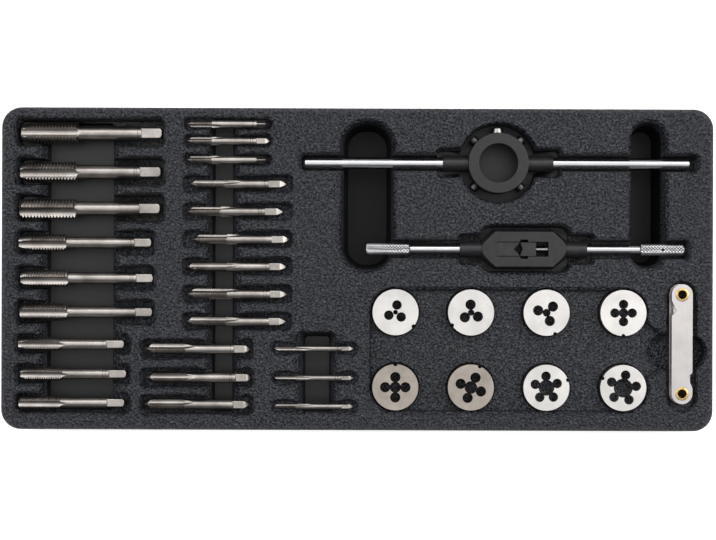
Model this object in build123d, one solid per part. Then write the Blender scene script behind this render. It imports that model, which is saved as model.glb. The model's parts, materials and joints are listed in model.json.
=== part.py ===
"""Insert tray of a tool-chest drawer with its thread-cutting tools.

Millimetres. The origin is the middle of the tray's footprint on the surface it lies on, +X along the long side
to the right, +Y away from the person who opens the drawer, +Z up.
"""
from build123d import *
from math import atan2, degrees, radians, tan
import os

# ---------------------------------------------------------------- tray
TRAY_LENGTH = 390.0          # footprint along X
TRAY_DEPTH = 177.5           # footprint along Y
TRAY_HEIGHT = 28.0
TRAY_WALL = 2.2              # thickness of the moulded sheet
TRAY_CORNER_R = 11.0         # plan radius of the four corners
TRAY_RIM = 3.0               # size of the rounding between the top face and the skirt
ROUND_FROM = 4.0             # smaller corners of an outline are cut off straight instead of rounded
SKIRT_DRAFT = 2.0            # degrees
POCKET_DRAFT = 4.0           # degrees, of every pocket wall
LIP = 1.2                    # width of the bevelled lip round every pocket
SEAT_GAP = 0.3               # play between a tool and the floor it lies on
FIT_GAP = 0.05               # radial play of a pin, rod or screw in its hole

TOOL_SINK = 0.7              # how far the tools' highest points lie below the tray's top face
CHANNEL_DEPTH = 15.0         # finger channels under the taps
RIB_RELIEF_DEPTH = 2.6       # how far the ribs' ends fall away beside a finger channel
RIB_RELIEF_RUN = 5.0         # and over what length
CHANNEL_DRAFT = 12.0         # degrees, of the finger channels' long walls
CHANNEL_END_GAP = 0.8        # a channel reaches this far past the outermost slots

# Tap columns: the left end of the slots, the finger channel's two sides, and the thread sizes they hold.
LEFT_COLUMN = dict(slots_x=-186.1, channel_x=(-172.8, -131.5), sizes=("m12", "m10", "m8"))
MIDDLE_COLUMN = dict(slots_x=-94.9, channel_x=(-82.0, -65.4), sizes=("m4", "m5", "m6", "m7"))
SMALL_COLUMN = dict(slots_x=-46.5, channel_x=(-32.0, -11.9), sizes=("m3",))
M7_SLOTS_X = -117.8          # the M7 slots start further left than their column
SMALL_CHANNEL_TOP_Y = -33.6  # the small channel's upper end lies well past its slots

# One row per thread size. diameter, overall length, length of thread, end of the flutes' run-out,
# shank diameter, square across flats and its length, pointed ends, the slot's right end and its width,
# and for each of the three taps the axis's Y and its left end's distance from the slot's left end.
TAPS = {
    "m12": dict(d=12.0, length=76.5, thread=30.0, flute=41.0, shank=7.8, square=6.1, square_length=10.7,
                pointed=False, slot_end=-105.4, slot_width=15.4, places=((74.0, 2.4), (52.8, 1.8), (32.8, 1.4))),
    "m10": dict(d=10.0, length=72.0, thread=25.0, flute=34.0, shank=6.4, square=4.9, square_length=8.7,
                pointed=False, slot_end=-110.6, slot_width=13.4, places=((14.1, 1.4), (-5.3, 2.4), (-23.9, 2.0))),
    "m8": dict(d=8.0, length=57.5, thread=22.0, flute=31.0, shank=5.9, square=4.5, square_length=9.0,
               pointed=False, slot_end=-123.7, slot_width=11.2, places=((-41.4, 1.3), (-57.6, 2.6), (-73.4, 1.6))),
    "m4": dict(d=4.0, length=45.5, thread=13.7, flute=21.0, shank=4.4, square=3.4, square_length=6.9,
               pointed=True, slot_end=-46.7, slot_width=6.6, places=((79.0, 1.4), (69.7, 1.4), (59.4, 1.4))),
    "m5": dict(d=5.0, length=52.5, thread=18.5, flute=28.0, shank=5.5, square=4.3, square_length=9.2,
               pointed=True, slot_end=-35.6, slot_width=9.0, places=((46.3, 3.3), (31.2, 1.4), (16.1, 5.1))),
    "m6": dict(d=6.0, length=54.5, thread=22.0, flute=31.0, shank=5.6, square=4.3, square_length=8.6,
               pointed=True, slot_end=-35.6, slot_width=9.4, places=((1.2, 1.4), (-13.8, 1.7), (-28.7, 1.2))),
    "m7": dict(d=7.0, length=58.0, thread=22.0, flute=31.0, shank=5.7, square=4.3, square_length=8.6,
               pointed=True, slot_end=-56.7, slot_width=10.6, places=((-43.8, 1.6), (-59.4, 2.5), (-74.1, 1.2))),
    "m3": dict(d=3.0, length=43.0, thread=12.0, flute=21.0, shank=3.3, square=2.7, square_length=6.0,
               pointed=True, slot_end=0.3, slot_width=6.6, places=((-43.3, 1.2), (-59.3, 1.2), (-74.8, 1.2))),
}
TAP_ORDER = ("taper", "second", "bottoming")
TAP_LEADS = {"taper": 0.30, "second": 0.16, "bottoming": 0.07}   # chamfered lead as a share of the thread
TAP_FLUTES = 3
FLUTE_CORE = 0.28            # radius of the web left between the flutes, as a share of the diameter
FLUTE_HALF_ANGLE = 58.0      # degrees between a flute's side and its middle plane
POINT_ANGLE = 32.0           # degrees between a pointed end's side and the axis
TAP_TIP_SHARE = 0.72         # radius of the cutting end, as a share of the thread's
TIP_FLAT_R = 0.2             # what is left flat at a point
TURNED_SQUARES = {("m4", "taper"), ("m4", "bottoming")}   # these two lie with an edge of the square up
# How far each size's three taps lie rolled towards -Y, in degrees, from one flute facing straight up.
TAP_ROLLS = {"m12": (0, 14, 28), "m10": (18, 22, 8), "m8": (6, 10, 8), "m7": (-30, -10, -25),
             "m6": (-12, -50, -25), "m5": (-20, -50, -50), "m4": (40, -50, -50), "m3": (10, 0, -30)}

# ---------------------------------------------------------------- dies
DIE_DIAMETER = 25.0
DIE_THICKNESS = 9.0
DIE_TOP_SINK = 0.2           # die face below the tray's top face
DIE_COLUMNS_X = (20.9, 62.0, 103.1, 144.9)
DIE_ROWS_Y = (-23.3, -64.1)
DIE_NOTCH_R = 1.1            # the notch in the rim that a retaining screw enters
DIE_POCKET_GAP = 1.0         # radial room round a die
THREAD_ROOT_SHARE = 0.86     # bore of a threaded hole, as a share of the thread's diameter
DIE_RECESS_DEPTH = 5.0       # the shallow field that holds the eight die pockets
RECESS_DRAFT = 12.0
DIE_RECESS = dict(x=(6.3, 158.8), y=(-78.0, -10.3), corner=14.0)
FUNNEL_WIDE_Y = (-62.0, -24.2)   # the field's right end narrows from this to the gauge's finger notch
FUNNEL_REACH = 9.0           # how far it runs into the notch
FUNNEL_END_INSET = 1.0       # and how much narrower than the notch it ends
# thread diameter, chip hole radius, their pitch radius, their angles, and the angle of the rim notch
DIES = {
    "m3": (3.0, 2.6, 4.0, (79, 204, 320), -38),
    "m4": (4.0, 2.8, 4.3, (94, 218, 329), 214),
    "m5": (5.0, 2.8, 4.8, (165, 45, 291), 292),
    "m6": (6.0, 2.55, 4.7, (90, 180, 0, 270), 270),
    "m7": (7.0, 2.8, 5.5, (90, 180, 0, 270), 90),
    "m8": (8.0, 2.8, 5.9, (65, 160, 339, 253), 67),
    "m10": (10.0, 2.6, 6.3, (92, 22, 307, 235, 163), 20),
    "m12": (12.0, 2.6, 7.1, (80, 8, 296, 225, 153), 155),
}

# ---------------------------------------------------------------- die stock
STOCK_X, STOCK_Y = 76.8, 58.2
STOCK_RING_D = 33.0
STOCK_RING_HEIGHT = 14.0
STOCK_HOLE_D = 21.0
STOCK_SEAT_CLEARANCE = 0.2   # the die's seat is this much larger than a die, in diameter
STOCK_SEAT_DEPTH = 9.3
STOCK_BOSS_D = 9.0
STOCK_BOSS_END = 30.2        # the bosses' outer ends, from the middle of the ring
STOCK_ROD_D = 6.5
STOCK_ROD_SPIGOT = 6.0       # length of a handle that is screwed into its boss
STOCK_LEFT_REACH = 106.6     # from the middle of the ring to the end of each handle
STOCK_RIGHT_REACH = 105.6
STOCK_ROD_BEVEL = 1.0
STOCK_SCREW_D = 4.0
STOCK_SCREW_HEAD_D = 5.2
STOCK_SCREW_OUT = 2.6        # how far a screw's head stands out of the ring
STOCK_SCREW_ANGLES = (45.0, 135.0, 225.0, 315.0)
STOCK_ADJUSTER_ANGLE = 90.0
STOCK_ADJUSTER_HEAD_D = 6.4
SCREW_TIP_BACK = 0.3         # a retaining screw's tip stands this far back from the seat's wall
SCREW_HEAD_GAP = 0.4         # bare neck between the ring and a screw's head
STOCK_POCKET_R = 21.5
STOCK_BOSS_POCKET = dict(x=(43.0, 111.5), width=15.8)
STOCK_ROD_POCKET = dict(x=(-31.3, 185.7), width=9.5)

# ---------------------------------------------------------------- tap wrench
WRENCH_Y = 11.2
WRENCH_BODY_X = (67.9, 113.8)
WRENCH_BODY_D = 22.0
WRENCH_BODY_FLAT_X = (75.2, 106.6)   # where the turned body has its full diameter
WRENCH_THICKNESS = 11.0              # across the milled flats
WRENCH_BOSS_D = 8.8
WRENCH_BOSS_X = (55.9, 125.4)
WRENCH_ROD_D = 5.4
WRENCH_GRIP_D = 6.9
WRENCH_GRIP_X = (4.4, 28.9, 154.3, 178.9)   # left grip's ends, right grip's ends
WRENCH_SPIGOT = 6.0
WINDOW_X = (76.1, 104.0)
WINDOW_WIDTH = 7.8
WINDOW_SLOT_X = (88.7, 92.9)
WINDOW_SLOT_WIDTH = 10.2
JAW_GAP = 0.15               # sliding fit of the jaws in the window
FIXED_JAW_END = 88.2
SLIDING_JAW_X = (88.8, 97.3)
JAW_NOTCH = 3.0              # depth of the V that grips the square of a tap
SLIDING_JAW_NOTCH = 1.2
JAW_NOTCH_WIDTH = 6.4
JAW_TRAVEL = 5.5
JAW_SCREW_D = 4.0
JAW_SCREW_START = 1.0        # length of the screw inside the jaw when the jaws are closed
GRIP_BEVEL = 0.5
GRIP_HOLE_D = 1.6
GRIP_HOLE_BACK = 12.0        # from the turning handle's free end to its cross hole
WRENCH_BODY_POCKET = dict(x=(66.9, 117.0), width=26.1, corner=6.0)
WRENCH_BOSS_POCKET = dict(x=(54.8, 129.5), width=16.7)
WRENCH_ROD_POCKET = dict(x=(10.0, 180.8), width=10.9)

# ---------------------------------------------------------------- finger channels beside the two holders
LEFT_FINGER = dict(x=(-9.2, 20.1), y=(-1.3, 81.0), corner=13.0)
RIGHT_FINGER = dict(x=(148.4, 168.3), y=(0.4, 81.2), corner=9.6)
FINGER_DRAFT = 8.0

# ---------------------------------------------------------------- thread pitch gauge
GAUGE_X = 175.9
GAUGE_TOP_PIVOT_Y, GAUGE_LOW_PIVOT_Y = -13.2, -66.8
GAUGE_WIDTH = 11.4
GAUGE_POCKET = dict(x=(169.4, 184.2), y=(-76.6, -6.5))
GAUGE_POCKET_DEPTH = 3.4
GAUGE_COVER_THICKNESS = 0.8
GAUGE_LEAF_THICKNESS = 0.6
GAUGE_LEAF_GAP = 0.1
GAUGE_LEAVES = 4             # swinging leaves on the upper eyelet
GAUGE_LOW_LEAVES = 3         # stowed leaves on the lower eyelet
GAUGE_LEAF_WIDTH = 9.6
GAUGE_LEAF_TIP_D = 7.0
GAUGE_LEAF_REACH = 48.5      # from the pivot to the leaf's far end
COVER_CUT_START = 3.0        # from the upper pivot to the thumb cut in the upper cover
COVER_CUT_LENGTH = 8.4
COVER_CUT_DEPTH = 2.5
GAUGE_EYELET_D = 5.6
GAUGE_EYELET_BORE = 4.6
GAUGE_EYELET_HEAD_D = 7.3
GAUGE_EYELET_HEAD = 0.5
GAUGE_NOTCH = dict(x=(158.5, 189.3), y=(-54.0, -34.6), depth=9.0)

os.makedirs("parts", exist_ok=True)

top_z = TRAY_HEIGHT
die_pocket_depth = DIE_TOP_SINK + DIE_THICKNESS + SEAT_GAP
die_pocket_r = DIE_DIAMETER / 2 + DIE_POCKET_GAP
stock_axis_z = top_z - TOOL_SINK - STOCK_RING_HEIGHT / 2
wrench_axis_z = top_z - TOOL_SINK - WRENCH_THICKNESS / 2
finger_depth = TRAY_HEIGHT - TRAY_WALL
stock_seat_r = (DIE_DIAMETER + STOCK_SEAT_CLEARANCE) / 2
notch_half = JAW_NOTCH_WIDTH / 2
gauge_base_z = top_z - GAUGE_POCKET_DEPTH + SEAT_GAP + GAUGE_EYELET_HEAD
leaf_pitch = GAUGE_LEAF_THICKNESS + GAUGE_LEAF_GAP
low_leaf_z = gauge_base_z + GAUGE_COVER_THICKNESS + GAUGE_LEAF_GAP
gauge_top_cover_z = low_leaf_z + (GAUGE_LEAVES + GAUGE_LOW_LEAVES) * leaf_pitch


# ---------------------------------------------------------------- helpers
def block(x, y, z):
    """A box between the given pairs of X, Y and Z."""
    middle = ((x[0] + x[1]) / 2, (y[0] + y[1]) / 2, (z[0] + z[1]) / 2)
    return Pos(*middle) * Box(x[1] - x[0], y[1] - y[0], z[1] - z[0])


def rod_x(diameter, x, y, z):
    """A round bar along X."""
    return Pos((x[0] + x[1]) / 2, y, z) * Rot(0, 90, 0) * Cylinder(diameter / 2, x[1] - x[0])


def outline(x, y, corner):
    """A rectangle in plan whose corners are rounded, or cut off straight where they are small."""
    wide, deep = x[1] - x[0], y[1] - y[0]
    middle = Pos((x[0] + x[1]) / 2, (y[0] + y[1]) / 2)
    if corner < ROUND_FROM:
        plain = Rectangle(wide, deep)
        return middle * chamfer(plain.vertices(), corner * (2 - 2 ** 0.5))
    if corner < 0.495 * min(wide, deep):
        return middle * RectangleRounded(wide, deep, corner)
    if abs(wide - deep) < 0.1:
        return middle * Circle(wide / 2)
    if wide > deep:
        return middle * SlotOverall(wide, deep)
    return middle * Rot(0, 0, 90) * SlotOverall(deep, wide)


def about(y, width):
    """The two sides of a strip of this width about y."""
    return (y - width / 2, y + width / 2)


def grown(pair, by):
    return (pair[0] - by, pair[1] + by)


def drafted(x, y, corner, z, far_z, inset):
    """A solid between an outline at z and a smaller one, inset all round, at far_z."""
    far_x, far_y = grown(x, -inset), grown(y, -inset)
    share = min(far_x[1] - far_x[0], far_y[1] - far_y[0]) / min(x[1] - x[0], y[1] - y[0])
    ends = [Pos(0, 0, z) * outline(x, y, corner), Pos(0, 0, far_z) * outline(far_x, far_y, corner * share)]
    return loft(ends, ruled=True)


def well(x, y, depth, corner=3.0, draft=POCKET_DRAFT):
    """What is cut out of the tray for one pocket: drafted walls down to the depth, and a bevelled lip."""
    start_z, floor_z = top_z + LIP, top_z - depth
    shaft = drafted(x, y, corner, start_z, floor_z, (start_z - floor_z) * tan(radians(draft)))
    mouth_x, mouth_y = grown(x, 2 * LIP), grown(y, 2 * LIP)
    return shaft + drafted(mouth_x, mouth_y, corner + 2 * LIP, start_z, top_z - 1.5 * LIP, 2.5 * LIP)


def cornered_well(corners, depth, draft):
    """The same for a plan with sharp corners."""
    plan = make_face(Polyline(*corners, close=True))
    start_z, floor_z = top_z + LIP, top_z - depth
    inset = (start_z - floor_z) * tan(radians(draft))

    def level(z, by):
        return Pos(0, 0, z) * offset(plan, by, kind=Kind.INTERSECTION)

    shaft = loft([level(start_z, -0.01), level(floor_z, -inset)], ruled=True)
    return shaft + loft([level(start_z, 2 * LIP), level(top_z - 1.5 * LIP, -0.5 * LIP)], ruled=True)


def cup(x, y, depth):
    """The outside of a pocket's moulded walls, one sheet thickness larger than the pocket all round."""
    return block(grown(x, TRAY_WALL), grown(y, TRAY_WALL), (top_z - depth - TRAY_WALL, top_z - TRAY_WALL / 2))


def round_cup(x, y, radius, depth):
    """The same for a round pocket: eight-sided outside."""
    sides = Pos(x, y) * RegularPolygon(radius + TRAY_WALL, 8, major_radius=False, rotation=22.5)
    return extrude(Pos(0, 0, top_z - TRAY_WALL / 2) * sides, depth + TRAY_WALL / 2, dir=(0, 0, -1))


def slot_depths(size):
    """Depth of a tap's slot under its thread, and under its shank."""
    thread_r, shank_r = max(size["d"], size["shank"]) / 2, size["shank"] / 2
    axis = TOOL_SINK + thread_r
    return axis + size["d"] / 2 + SEAT_GAP, axis + shank_r + SEAT_GAP


def tap_axis_z(size):
    return top_z - TOOL_SINK - max(size["d"], size["shank"]) / 2


def slots_left(name):
    """Where the slots of a thread size start."""
    if name == "m7":
        return M7_SLOTS_X
    return next(c["slots_x"] for c in (LEFT_COLUMN, MIDDLE_COLUMN, SMALL_COLUMN) if name in c["sizes"])


def gauge_leaf_z(level):
    """Underside of the leaf at a level, counted from the bottom cover."""
    return low_leaf_z + level * leaf_pitch


# ---------------------------------------------------------------- the tray
def tap_slots():
    """One slot per tap, deeper under the thread than under the shank, and the moulded block of each size."""
    wells, cups = [], []
    for column in (LEFT_COLUMN, MIDDLE_COLUMN, SMALL_COLUMN):
        step_x = sum(column["channel_x"]) / 2
        for name in column["sizes"]:
            size, left = TAPS[name], slots_left(name)
            under_thread, under_shank = slot_depths(size)
            ys = [y for y, _ in size["places"]]
            for y in ys:
                across = about(y, size["slot_width"])
                wells.append(well((left, step_x), across, under_thread))
                wells.append(well((step_x - LIP, size["slot_end"]), across, under_shank))
            span = (min(ys) - size["slot_width"] / 2, max(ys) + size["slot_width"] / 2)
            cups.append(cup((left, size["slot_end"]), span, max(under_thread, under_shank)))
    return wells, cups


def channel_span(column):
    """The two ends of a column's finger channel, just past its outermost slots."""
    edges = [y + side * TAPS[name]["slot_width"] / 2
             for name in column["sizes"] for y, _ in TAPS[name]["places"] for side in (-1, 1)]
    top = SMALL_CHANNEL_TOP_Y if column is SMALL_COLUMN else max(edges) + CHANNEL_END_GAP
    return (min(edges) - CHANNEL_END_GAP, top)


def rib_relief(column):
    """The ribs between the slots fall away towards the finger channel that crosses them."""
    x, y = column["channel_x"], channel_span(column)
    run, low = RIB_RELIEF_RUN, top_z - RIB_RELIEF_DEPTH
    section = Polyline((x[0] - run, top_z), (x[0] + 1, low), (x[1] - 1, low), (x[1] + run, top_z),
                       (x[1] + run, top_z + 1), (x[0] - run, top_z + 1), close=True)
    inset = CHANNEL_END_GAP + LIP
    ramps = extrude(make_face(Plane.XZ * section), y[1] - y[0] - 2 * inset, dir=(0, -1, 0))
    return Pos(0, y[1] - inset, 0) * ramps


def finger_channels():
    """The channels that cross the tap slots, and the two beside the die stock and the tap wrench."""
    wells, cups = [], []
    for column in (LEFT_COLUMN, MIDDLE_COLUMN, SMALL_COLUMN):
        x, y = column["channel_x"], channel_span(column)
        wells.append(well(x, y, CHANNEL_DEPTH, 3.0, CHANNEL_DRAFT))
        wells.append(rib_relief(column))
        cups.append(cup(x, y, CHANNEL_DEPTH))
    for place in (LEFT_FINGER, RIGHT_FINGER):
        wells.append(well(place["x"], place["y"], finger_depth, place["corner"], FINGER_DRAFT))
        cups.append(cup(place["x"], place["y"], finger_depth))
    return wells, cups


def die_pockets():
    """A shallow field with eight round pockets in it, open on the right towards the gauge's finger notch."""
    x, y = DIE_RECESS["x"], DIE_RECESS["y"]
    wide, narrow = FUNNEL_WIDE_Y, grown(GAUGE_NOTCH["y"], -FUNNEL_END_INSET)
    left, right = x[1] - 3 * LIP, GAUGE_NOTCH["x"][0] + FUNNEL_REACH
    funnel = ((left, wide[0]), (right, narrow[0]), (right, narrow[1]), (left, wide[1]))
    wells = [well(x, y, DIE_RECESS_DEPTH, DIE_RECESS["corner"], RECESS_DRAFT),
             cornered_well(funnel, DIE_RECESS_DEPTH, RECESS_DRAFT)]
    cups = [cup(x, y, DIE_RECESS_DEPTH), cup((left, right), wide, DIE_RECESS_DEPTH)]
    middle_z = top_z - die_pocket_depth / 2
    for centre_x in DIE_COLUMNS_X:
        for centre_y in DIE_ROWS_Y:
            wells.append(Pos(centre_x, centre_y, middle_z) * Cylinder(die_pocket_r, die_pocket_depth))
            cups.append(round_cup(centre_x, centre_y, die_pocket_r, die_pocket_depth))
    return wells, cups


def stock_pockets():
    """The die stock's place: a round well for the ring, channels for the bosses and for the handles."""
    rise = top_z - stock_axis_z
    ring_x, ring_y = about(STOCK_X, 2 * STOCK_POCKET_R), about(STOCK_Y, 2 * STOCK_POCKET_R)
    boss_y = about(STOCK_Y, STOCK_BOSS_POCKET["width"])
    rod_y = about(STOCK_Y, STOCK_ROD_POCKET["width"])
    ring_depth = rise + STOCK_RING_HEIGHT / 2 + SEAT_GAP
    boss_depth = rise + STOCK_BOSS_D / 2 + SEAT_GAP
    rod_depth = rise + STOCK_ROD_D / 2 + SEAT_GAP
    wells = [well(ring_x, ring_y, ring_depth, STOCK_POCKET_R, draft=0),
             well(STOCK_BOSS_POCKET["x"], boss_y, boss_depth, 3.0),
             well(STOCK_ROD_POCKET["x"], rod_y, rod_depth, 3.0)]
    cups = [round_cup(STOCK_X, STOCK_Y, STOCK_POCKET_R, ring_depth),
            cup(STOCK_BOSS_POCKET["x"], boss_y, boss_depth), cup(STOCK_ROD_POCKET["x"], rod_y, rod_depth)]
    return wells, cups


def wrench_pockets():
    """The tap wrench's place: a well for the body, channels for the bosses and for the handles."""
    rise = top_z - wrench_axis_z
    layout = ((WRENCH_BODY_POCKET, WRENCH_THICKNESS / 2, WRENCH_BODY_POCKET["corner"]),
              (WRENCH_BOSS_POCKET, WRENCH_BOSS_D / 2, 3.0), (WRENCH_ROD_POCKET, WRENCH_GRIP_D / 2, 3.0))
    wells, cups = [], []
    for pocket, radius, corner in layout:
        y, depth = about(WRENCH_Y, pocket["width"]), rise + radius + SEAT_GAP
        wells.append(well(pocket["x"], y, depth, corner))
        cups.append(cup(pocket["x"], y, depth))
    return wells, cups


def gauge_pockets():
    """The thread gauge's shallow pocket and the round-ended finger notch across it."""
    x, y = GAUGE_POCKET["x"], GAUGE_POCKET["y"]
    notch = GAUGE_NOTCH
    wells = [well(x, y, GAUGE_POCKET_DEPTH, (x[1] - x[0]) / 2, draft=0),
             well(notch["x"], notch["y"], notch["depth"], (notch["y"][1] - notch["y"][0]) / 2, draft=0)]
    return wells, [cup(x, y, GAUGE_POCKET_DEPTH), cup(notch["x"], notch["y"], notch["depth"])]


def tray():
    """The moulded sheet: top face, skirt and the hanging walls of every pocket, open below."""
    half_x, half_y = TRAY_LENGTH / 2, TRAY_DEPTH / 2
    x, y, lean = (-half_x, half_x), (-half_y, half_y), tan(radians(SKIRT_DRAFT))
    shoulder_z = TRAY_HEIGHT - TRAY_RIM
    shell = drafted(x, y, TRAY_CORNER_R, 0, shoulder_z, shoulder_z * lean)
    above = 0.0
    for start_z, end_z, slope in ((0.0, 0.6, 0.4), (0.6, 1.0, 1.5)):
        inset = shoulder_z * lean + above
        step = (end_z - start_z) * TRAY_RIM
        shell += drafted(grown(x, -inset), grown(y, -inset), TRAY_CORNER_R, shoulder_z + start_z * TRAY_RIM,
                         shoulder_z + end_z * TRAY_RIM, step * slope)
        above += step * slope
    inner_x, inner_y = grown(x, -TRAY_WALL), grown(y, -TRAY_WALL)
    ceiling_z = TRAY_HEIGHT - TRAY_WALL
    shell -= drafted(inner_x, inner_y, TRAY_CORNER_R - TRAY_WALL, 0, ceiling_z, ceiling_z * lean)
    groups = [tap_slots(), finger_channels(), die_pockets(), stock_pockets(), wrench_pockets(), gauge_pockets()]
    shell = shell.fuse(*[c for _, cups in groups for c in cups])
    return shell.cut(*[w for wells, _ in groups for w in wells])


# ---------------------------------------------------------------- taps
def sloped(height, angle, reach):
    """A cutter above a plane that starts at this height over the origin and climbs along +X at this angle."""
    return Pos(0, 0, height) * Rot(0, -angle, 0) * block((-reach, 2 * reach), (-reach, reach), (0, reach))


def flute_cutter(size):
    """A V-shaped groove along the thread that then climbs out through the shank."""
    d, core_r = size["d"], FLUTE_CORE * size["d"]
    run, rise = size["flute"] - size["thread"], max(size["shank"], d) / 2 - core_r
    wide = d * tan(radians(FLUTE_HALF_ANGLE))
    section = make_face(Plane.YZ * Polyline((0, 0), (wide, d), (-wide, d), close=True))
    straight = Pos(-1, 0, core_r) * extrude(section, size["thread"] + 1, dir=(1, 0, 0))
    climb = degrees(atan2(rise, run))
    return straight + Pos(size["thread"], 0, core_r) * Rot(0, -climb, 0) * extrude(section, 2 * run, dir=(1, 0, 0))


def tap(name, index):
    """One tap where it lies: tip to the left, a flat of the square facing up, and the flutes as it is rolled."""
    size, kind = TAPS[name], TAP_ORDER[index]
    y, gap = size["places"][index]
    d, shank, end = size["d"], size["shank"], size["length"]
    blank = rod_x(d, (0, size["thread"]), 0, 0) + rod_x(shank, (size["thread"] - 1, end), 0, 0)
    lead, tip_r = size["thread"] * TAP_LEADS[kind], d / 2 * TAP_TIP_SHARE
    chamfered_lead = sloped(tip_r, degrees(atan2(d / 2 - tip_r, lead)), size["thread"])
    flute = flute_cutter(size)
    cutters = []
    for turn in range(TAP_FLUTES):
        at_flute = TAP_ROLLS[name][index] + 360 / TAP_FLUTES * turn
        at_land = at_flute + 180 / TAP_FLUTES
        cutters += [Rot(at_flute, 0, 0) * flute, Rot(at_land, 0, 0) * chamfered_lead]
        if size["pointed"]:
            cutters.append(Rot(at_land, 0, 0) * sloped(TIP_FLAT_R, POINT_ANGLE, 2 * d))
    turned = 45 if (name, kind) in TURNED_SQUARES else 0
    half = size["square"] / 2
    side = block((end - size["square_length"], end + 1), (-shank, shank), (half, shank))
    if size["pointed"]:
        side += Pos(end, 0, 0) * Rot(0, 0, 180) * sloped(TIP_FLAT_R, POINT_ANGLE, 2 * d)
    for quarter in range(4):
        cutters.append(Rot(turned + 90 * quarter, 0, 0) * side)
    return Pos(slots_left(name) + gap, y, tap_axis_z(size)) * (blank - cutters)


# ---------------------------------------------------------------- dies
def die(name, centre):
    """A round die: threaded bore, chip holes that open into it, and the notch for the retaining screw."""
    thread, hole_r, pitch_r, angles, notch = DIES[name]
    body = Cylinder(DIE_DIAMETER / 2, DIE_THICKNESS)
    height = DIE_THICKNESS + 2
    body -= Cylinder(thread * THREAD_ROOT_SHARE / 2, height)
    for angle in angles:
        body -= Rot(0, 0, angle) * Pos(pitch_r, 0, 0) * Cylinder(hole_r, height)
    body -= Rot(0, 0, notch) * Pos(DIE_DIAMETER / 2, 0, 0) * Cylinder(DIE_NOTCH_R, height)
    return Pos(*centre, top_z - DIE_TOP_SINK - DIE_THICKNESS / 2) * body


def die_places():
    """Where the eight dies lie: two rows, sizes rising from left to right."""
    centres = [(x, y) for y in DIE_ROWS_Y for x in DIE_COLUMNS_X]
    return list(zip(DIES, centres))


# ---------------------------------------------------------------- die stock
def stock_screw_z():
    return stock_axis_z - STOCK_RING_HEIGHT / 2 + STOCK_SEAT_DEPTH / 2


def stock_body():
    """The ring with its stepped hole, two bosses along X, and five radial screw holes."""
    ring = Cylinder(STOCK_RING_D / 2, STOCK_RING_HEIGHT)
    ring += rod_x(STOCK_BOSS_D, (-STOCK_BOSS_END, STOCK_BOSS_END), 0, 0)
    ring -= Cylinder(STOCK_HOLE_D / 2, STOCK_RING_HEIGHT + 2)
    seat_z = (STOCK_SEAT_DEPTH - STOCK_RING_HEIGHT) / 2
    ring -= Pos(0, 0, seat_z) * Cylinder(stock_seat_r, STOCK_SEAT_DEPTH)
    socket = STOCK_BOSS_END - STOCK_ROD_SPIGOT - FIT_GAP
    for side in (-1, 1):
        ends = sorted((side * socket, side * (STOCK_BOSS_END + 1)))
        ring -= rod_x(STOCK_ROD_D + 2 * FIT_GAP, ends, 0, 0)
    hole = rod_x(STOCK_SCREW_D + 2 * FIT_GAP, (stock_seat_r - 1, STOCK_RING_D), 0, stock_screw_z() - stock_axis_z)
    for angle in STOCK_SCREW_ANGLES + (STOCK_ADJUSTER_ANGLE,):
        ring -= Rot(0, 0, angle) * hole
    return Pos(STOCK_X, STOCK_Y, stock_axis_z) * ring


def stock_handle(side):
    """A plain round handle screwed into one boss, bevelled at its free end."""
    reach = STOCK_RIGHT_REACH if side > 0 else STOCK_LEFT_REACH
    rod = rod_x(STOCK_ROD_D, (STOCK_BOSS_END - STOCK_ROD_SPIGOT, reach), 0, 0)
    rod = chamfer(rod.edges().filter_by(GeomType.CIRCLE).sort_by(Axis.X)[-1], STOCK_ROD_BEVEL)
    return Pos(STOCK_X, STOCK_Y, stock_axis_z) * Rot(0, 0, 0 if side > 0 else 180) * rod


def stock_screw(angle, head_d):
    """A screw that points at the middle of the ring, its head outside and its tip just short of a die's rim."""
    outer = STOCK_RING_D / 2
    tip_end = stock_seat_r + SCREW_TIP_BACK
    head_start = outer + SCREW_HEAD_GAP
    screw = rod_x(STOCK_SCREW_D, (tip_end, head_start + 1), 0, 0)
    screw += rod_x(head_d, (head_start, head_start + STOCK_SCREW_OUT), 0, 0)
    return Pos(STOCK_X, STOCK_Y, stock_screw_z()) * Rot(0, 0, angle) * screw


# ---------------------------------------------------------------- tap wrench
def wrench_body():
    """A turned body with milled flats, a window for the jaws, and a boss at each end for the handles."""
    x, full, boss_r = WRENCH_BODY_X, WRENCH_BODY_FLAT_X, WRENCH_BOSS_D / 2
    nose_r = WRENCH_THICKNESS / 2
    section = Polyline((x[0], 0), (x[0], nose_r), (full[0], WRENCH_BODY_D / 2), (full[1], WRENCH_BODY_D / 2),
                       (x[1], nose_r), (x[1], 0), close=True)
    body = revolve(make_face(Plane.XZ * section), Axis.X)
    body &= block(x, (-WRENCH_BODY_D, WRENCH_BODY_D), about(0, WRENCH_THICKNESS))
    body += rod_x(2 * boss_r, WRENCH_BOSS_X, 0, 0)
    tall = about(0, WRENCH_THICKNESS + 2)
    body -= block(WINDOW_X, about(0, WINDOW_WIDTH), tall) + block(WINDOW_SLOT_X, about(0, WINDOW_SLOT_WIDTH), tall)
    socket = WRENCH_SPIGOT + FIT_GAP
    left, right = WRENCH_BOSS_X
    body -= rod_x(WRENCH_ROD_D + 2 * FIT_GAP, (left - 1, left + socket), 0, 0)
    body -= rod_x(WRENCH_ROD_D + 2 * FIT_GAP, (right - socket, right + 1), 0, 0)
    body -= rod_x(JAW_SCREW_D + 2 * FIT_GAP, (WINDOW_X[1] - 1, right), 0, 0)
    return Pos(0, WRENCH_Y, wrench_axis_z) * body


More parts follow.
